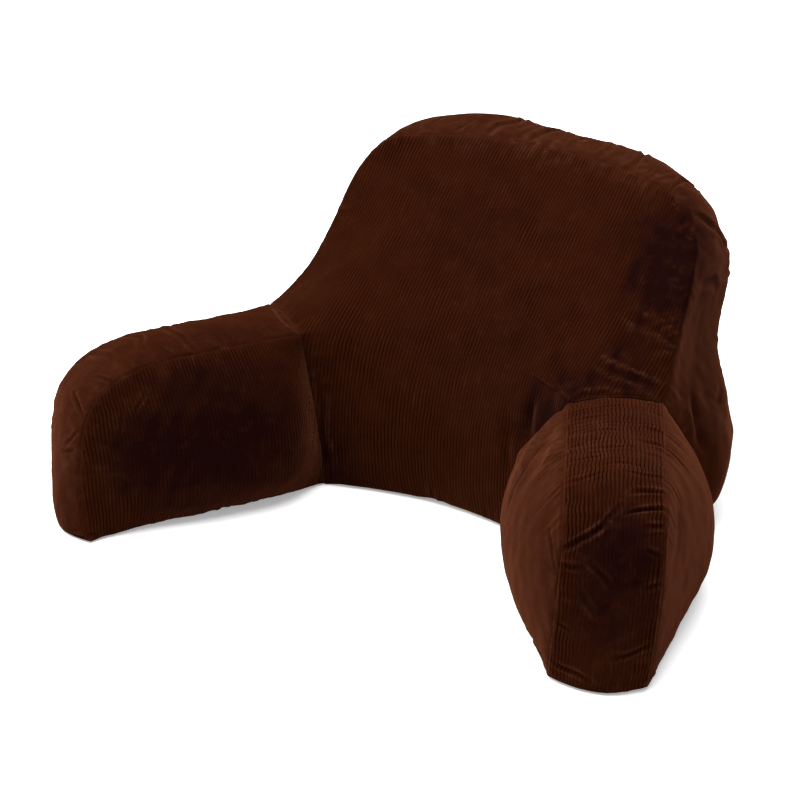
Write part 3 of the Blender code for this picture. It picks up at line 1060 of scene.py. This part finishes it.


# %% [markdown]
# ## Corduroy
#
# The cords are real humps, so the material adds what the eye sees between and on them: grooves
# darkened by painted shade over their bare backing, worn and brushed pile with painted highlight and
# painted shade, and the warm sheen of pile seen along its tips.  The grooves follow the cloth through
# the panels' own map, in metres, and the state of the pile, with its painted shade and highlight,
# comes from the points.

# %% Values and nodes
class Wire:
    """A number that flows through a material: sums and products of wires add Math nodes."""

    def __init__(self, tree, socket):
        self.tree = tree
        self.socket = socket

    def math(self, operation, *values):
        """Add one Math node with this wire and the other values."""
        node = self.tree.nodes.new("ShaderNodeMath")
        node.operation = operation
        for slot, value in zip(node.inputs, values):
            if isinstance(value, Wire):
                self.tree.links.new(value.socket, slot)
            else:
                slot.default_value = value
        return Wire(self.tree, node.outputs[0])

    def __add__(self, other):
        return self.math("ADD", self, other)

    def __radd__(self, other):
        return self.math("ADD", other, self)

    def __sub__(self, other):
        return self.math("SUBTRACT", self, other)

    def __rsub__(self, other):
        return self.math("SUBTRACT", other, self)

    def __mul__(self, other):
        return self.math("MULTIPLY", self, other)

    def __rmul__(self, other):
        return self.math("MULTIPLY", other, self)

    def __truediv__(self, other):
        return self.math("DIVIDE", self, other)

    def size(self):
        """Drop the sign."""
        return self.math("ABSOLUTE", self)

    def between(self, low, high):
        """Rise smoothly from 0 at low to 1 at high."""
        node = self.tree.nodes.new("ShaderNodeMapRange")
        node.interpolation_type = "SMOOTHSTEP"
        node.inputs["From Min"].default_value = low
        node.inputs["From Max"].default_value = high
        self.tree.links.new(self.socket, node.inputs["Value"])
        return Wire(self.tree, node.outputs["Result"])


class Bench:
    """A material with its node tree and one way to add a node."""

    def __init__(self, name):
        self.material = bpy.data.materials.new(name)
        self.material.use_nodes = True
        self.tree = self.material.node_tree
        self.shader = self.tree.nodes["Principled BSDF"]

    def node(self, kind, settings=None, **sockets):
        """Add a node, set its settings, then fill or link its sockets."""
        node = self.tree.nodes.new(kind)
        for key, value in (settings or {}).items():
            setattr(node, key, value)
        for key, value in sockets.items():
            self.fill(node.inputs[key.replace("_", " ")], value)
        return node

    def fill(self, socket, value):
        """Link a wire or an output to a socket, or set a plain value."""
        if isinstance(value, Wire):
            self.tree.links.new(value.socket, socket)
        elif isinstance(value, bpy.types.NodeSocket):
            self.tree.links.new(value, socket)
        else:
            socket.default_value = value

    def noise(self, vector, scale, detail=2.0, roughness=0.5):
        """Give a noise pattern as a wire."""
        settings = {"Scale": scale, "Detail": detail, "Roughness": roughness}
        node = self.node("ShaderNodeTexNoise", Vector=vector, **settings)
        return Wire(self.tree, node.outputs["Fac"])

    def blend(self, factor, first, second):
        """Mix two colours."""
        node = self.node("ShaderNodeMix", {"data_type": "RGBA"})
        self.fill(node.inputs["Factor"], factor)
        self.fill(node.inputs[6], first)
        self.fill(node.inputs[7], second)
        return node.outputs[2]


# %% The corduroy itself
CORD_BROWN = (0.0152, 0.0031, 0.0009, 1.0)
# Rubbed pile, and a painted highlight where the light falls.
WEAR_AND_HIGHLIGHT_BROWN = (0.0400, 0.0120, 0.0058, 1.0)
# Dark pile, and painted shade in the hollows, the joints and on faces turned from the light.
DARK_PILE_AND_SHADE_BROWN = (0.0055, 0.0013, 0.0012, 1.0)
# Painted shade in the grooves between cords, over their bare backing.
GROOVE_SHADE_BROWN = (0.0035, 0.0007, 0.0002, 1.0)
SHEEN_TINT = (1.0, 0.32, 0.16, 1.0)
SHEEN_WEIGHT = 0.115
SHEEN_ROUGHNESS = 0.35
# Repeats per metre of the streaks across and along the cloth, of patches, of mottled spots and of
# the grain of the pile.
STREAK_SCALE = (220.0, 30.0, 1.0)
PATCH_SCALE = 14.0
MOTTLE_SCALE = 55.0
GRAIN_SCALE = 650.0


def make_corduroy():
    """Make the cloth: brown pile cords, grooves darkened by painted shade, worn and brushed pile with
    painted highlight and shade, a soft sheen.
    """
    bench = Bench("brown_corduroy")
    chart = bench.node("ShaderNodeUVMap", {"uv_map": "cloth"}).outputs["UV"]
    apart = bench.node("ShaderNodeSeparateXYZ", Vector=chart)
    across = Wire(bench.tree, apart.outputs["X"])
    # The pile numbers carry wear with painted highlight, dark pile with painted shade, and how much
    # the cords show.
    state = bench.node("ShaderNodeAttribute", {"attribute_name": "pile"}).outputs["Vector"]
    state = bench.node("ShaderNodeSeparateXYZ", Vector=state)
    wear_and_highlight = Wire(bench.tree, state.outputs["X"])
    dark_pile_and_shade = Wire(bench.tree, state.outputs["Y"])
    shown = Wire(bench.tree, state.outputs["Z"])
    place = bench.node("ShaderNodeTexCoord").outputs["Object"]
    share = (across / CORD).math("FRACT", across / CORD)
    groove = ((share * 2.0 - 1.0).size()).between(0.42, 0.95)
    stretched = bench.node("ShaderNodeMapping", Vector=chart, Scale=STREAK_SCALE).outputs["Vector"]
    streaks = bench.noise(stretched, 1.0, 3.0).between(0.45, 0.75)
    patches = bench.noise(place, PATCH_SCALE, 3.0).between(0.35, 0.70)
    pile = bench.noise(place, GRAIN_SCALE, 3.0, 0.7).between(0.34, 0.66)
    mottle = bench.noise(place, MOTTLE_SCALE, 5.0, 0.7).between(0.46, 0.66)
    # Rubbed pile and painted highlight lighten the cloth, mottled, with streaks, patches and grain of
    # the pile.
    wear_and_highlight = wear_and_highlight * (0.45 + 0.55 * mottle)
    lighter = wear_and_highlight * 0.90 + streaks * patches * 0.22 + mottle * (0.06 + 0.18 * dark_pile_and_shade)
    lighter = lighter + pile * 0.22 - 0.08
    colour = bench.blend(lighter, CORD_BROWN, WEAR_AND_HIGHLIGHT_BROWN)
    # Dark pile and painted shade darken the cloth.
    colour = bench.blend(dark_pile_and_shade * (1.0 - 0.20 * mottle) * (1.0 - 0.6 * wear_and_highlight), colour, DARK_PILE_AND_SHADE_BROWN)
    # Painted shade darkens the grooves between the cords, over their bare backing.
    colour = bench.blend(groove * shown * 0.95, colour, GROOVE_SHADE_BROWN)
    bench.fill(bench.shader.inputs["Base Color"], colour)
    bench.shader.inputs["Roughness"].default_value = 0.95
    bump = bench.node("ShaderNodeBump", Strength=0.35, Distance=0.0007, Height=pile)
    bench.fill(bench.shader.inputs["Normal"], bump.outputs["Normal"])
    bench.shader.inputs["Specular IOR Level"].default_value = 0.0
    bench.shader.inputs["Sheen Weight"].default_value = SHEEN_WEIGHT
    bench.shader.inputs["Sheen Roughness"].default_value = SHEEN_ROUGHNESS
    bench.shader.inputs["Sheen Tint"].default_value = SHEEN_TINT
    return bench.material


corduroy = make_corduroy()

# %% Helpers that add panels to a cover
HIDDEN_STEP = FINE // 4
STATE_COLUMNS = ("cords", "rumple", "row_step", "columns")
CLOTH_STATE = {
    "front_low": (1.0, 0.0002, 4, 4),
    "front_high": (1.0, 0.0002, 2, 4),
    "rear": (0.7, 0.0002, 8, 2),
    "boxing": (0.2, 0.0004, 2, 2),
    "arm_left_inner": (1.0, 0.0003, 2, 4),
    "arm_left_outer": (0.4, 0.0003, 4, 4),
    "arm_left_strip": (0.45, 0.0005, 1, 4),
    "arm_right_inner": (0.25, 0.0004, 2, 4),
    "arm_right_outer": (0.25, 0.0004, 4, 4),
    "arm_right_strip": (1.4, 0.0007, 1, 4),
}


def add_panel(cover, name, points, normals, across, seams, columns=None, open_ends=(False, False)):
    """Lay cords on a panel, raise its relief and add it to a cover.

    columns are the first and last column that the panel fills.  open_ends says whether the
    first and last row run on into more of the same panel, and so aren't drawn in.
    """
    state = dict(zip(STATE_COLUMNS, CLOTH_STATE[name]))
    kept = np.unique(np.append(np.arange(0, len(points), state["row_step"]), len(points) - 1))
    first, last = columns or (0, points.shape[1] - 1)
    edge = np.ones(len(kept), dtype=int)
    laid = lay_cords(points[kept], normals[kept], across[kept], edge * first, edge * last, state)
    on_seam = laid["held"].copy()
    for end, is_open in zip((0, -1), open_ends):
        if not is_open:
            on_seam[end] = True
    creases = CREASES.get(name, ())
    cover.add(laid, raise_relief(laid, on_seam, seams, creases, state["cords"]), laid["face"])


def add_plain(cover, points, middle, seams):
    """Add a hidden panel as a coarser grid without cords."""
    points = points[::HIDDEN_STEP, ::HIDDEN_STEP]
    on_seam = np.zeros(points.shape[:2], dtype=bool)
    on_seam[[0, -1]] = True
    on_seam[:, [0, -1]] = True
    lengths = np.stack([running_length(points, 1), running_length(points, 0)], axis=-1)
    laid = {"place": points, "face": facing(points, middle), "cloth": lengths}
    laid["held"] = np.zeros_like(on_seam)
    cover.add(laid, raise_relief(laid, on_seam, seams, (), 0.0), laid["face"])


# %% Cover of the back
back_cover = Cover("back_cover")
WAIST_ROW = 5 * FINE
SIDEWAYS = (1.0, 0.0, 0.0)
front_across = planes_across(front, SIDEWAYS, WAIST_ROW, BACK_MIDDLE * FINE)
rear_across = planes_across(rear, SIDEWAYS, WAIST_ROW, BACK_MIDDLE * FINE)
boxing_across = lines_across(boxing, boxing.shape[1] // 2)
low = slice(0, JOINT_FINE + 1)
high = slice(JOINT_FINE, None)
add_panel(back_cover, "front_low", front[low], front_facing[low], front_across[low], back_seams,
          (LEFT_BEND, RIGHT_BEND), (False, True))
add_panel(back_cover, "front_high", front[high], front_facing[high], front_across[high], back_seams,
          None, (True, False))
add_panel(back_cover, "rear", rear, rear_facing, rear_across, back_seams)
add_panel(back_cover, "boxing", boxing, boxing_facing, boxing_across, back_seams)
add_plain(back_cover, back_base, back_middle, back_seams)
for patch in joint_patches.values():
    add_plain(back_cover, patch, back_middle, back_seams)
covers = {"back": back_cover.finish(corduroy)}

# %% Covers of the arms
MIDDLE_HEIGHT = 2 * FINE

for name, panels in arms.items():
    middle = panels["base"].mean(axis=(0, 1)) + [0.0, 0.0, 0.1]
    seams = arm_seams(panels, middle)
    ahead = arm_directions(ARM_LIE[name])[0] * [ARM_LIE[name]["side"], 1.0, 1.0]
    cover = Cover(name + "_cover")
    for side in ("inner", "outer"):
        panel = panels[side]
        across = planes_across(panel, ahead, MIDDLE_HEIGHT, 0)
        add_panel(cover, name + "_" + side, panel, facing(panel, middle), across, seams)
    strip = panels["strip"]
    across = lines_across(strip, strip.shape[1] // 2)
    add_panel(cover, name + "_strip", strip, facing(strip, middle), across, seams)
    add_plain(cover, panels["base"], middle, seams)
    add_plain(cover, panels["joint"], middle, seams)
    covers[name] = cover.finish(corduroy)

# %% Say what the covers stand for
for name, cover in covers.items():
    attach(cover, "root")
    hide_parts(name)

# %% [markdown]
# ## Studio
#
# A product picture on white needs an even floor that runs out of the frame, a big soft light
# from above and to the left, and a second one from straight above.  The floor glows a little, so
# that shadows stay pale.  The camera is a long lens from a little above, a third of a right angle
# round to the right of the cushion's front.

# %% Floor and light
FLOOR_REACH = 30.0
FLOOR_GLOW = 0.33
FLOOR_LEVEL = -0.0004


def make_floor():
    """Make the pale floor that the cushion stands on."""
    mesh = bpy.data.meshes.new("studio_floor")
    half = FLOOR_REACH / 2.0
    corners = [(x * half, y * half, FLOOR_LEVEL) for x, y in ((-1, -1), (1, -1), (1, 1), (-1, 1))]
    mesh.from_pydata(corners, [], [(0, 1, 2, 3)])
    bench = Bench("studio_white")
    bench.shader.inputs["Base Color"].default_value = (0.90, 0.90, 0.90, 1.0)
    bench.shader.inputs["Roughness"].default_value = 1.0
    bench.shader.inputs["Emission Color"].default_value = (1.0, 1.0, 1.0, 1.0)
    bench.shader.inputs["Emission Strength"].default_value = FLOOR_GLOW
    mesh.materials.append(bench.material)
    floor = bpy.data.objects.new("studio_floor", mesh)
    bpy.context.scene.collection.objects.link(floor)
    return floor


def soft_light(name, place, aim, size, power, colour=(1.0, 1.0, 1.0)):
    """Hang a square soft box that points at a place."""
    light = bpy.data.lights.new(name, "AREA")
    light.shape = "SQUARE"
    light.size = size
    light.energy = power
    light.color = colour
    lamp = bpy.data.objects.new(name, light)
    lamp.location = place
    lamp.rotation_euler = (Vector(aim) - Vector(place)).to_track_quat("-Z", "Y").to_euler()
    bpy.context.scene.collection.objects.link(lamp)
    return lamp


make_floor()
soft_light("key_light", (-2.0, -0.8, 2.8), (0.0, 0.0, 0.2), 3.0, 200.0)
soft_light("top_light", (0.2, -0.2, 3.2), (0.0, 0.0, 0.2), 3.0, 185.0)
world = bpy.data.worlds.new("studio_air")
world.use_nodes = True
world.node_tree.nodes["Background"].inputs["Color"].default_value = (1.0, 1.0, 1.0, 1.0)
world.node_tree.nodes["Background"].inputs["Strength"].default_value = 0.36
bpy.context.scene.world = world
bpy.context.scene.view_settings.view_transform = "Standard"

# %% Camera
CAMERA_TURN = 32.9
CAMERA_RISE = 24.25
CAMERA_DISTANCE = 3.5
CAMERA_AIM = np.array([0.0402, 0.1407, 0.2137]) + shift
CAMERA_LENS = 135.45


def make_camera():
    """Put the camera on a sphere round the point that it looks at."""
    turn = math.radians(CAMERA_TURN)
    rise = math.radians(CAMERA_RISE)
    way = Vector((math.sin(turn) * math.cos(rise), -math.cos(turn) * math.cos(rise), math.sin(rise)))
    data = bpy.data.cameras.new("camera")
    data.lens = CAMERA_LENS
    data.sensor_width = 36.0
    data.clip_end = 100.0
    camera = bpy.data.objects.new("camera", data)
    camera.location = Vector(CAMERA_AIM) + way * CAMERA_DISTANCE
    camera.rotation_euler = way.to_track_quat("Z", "Y").to_euler()
    bpy.context.scene.collection.objects.link(camera)
    bpy.context.scene.camera = camera


make_camera()

# %% Finish
bpy.context.view_layer.update()
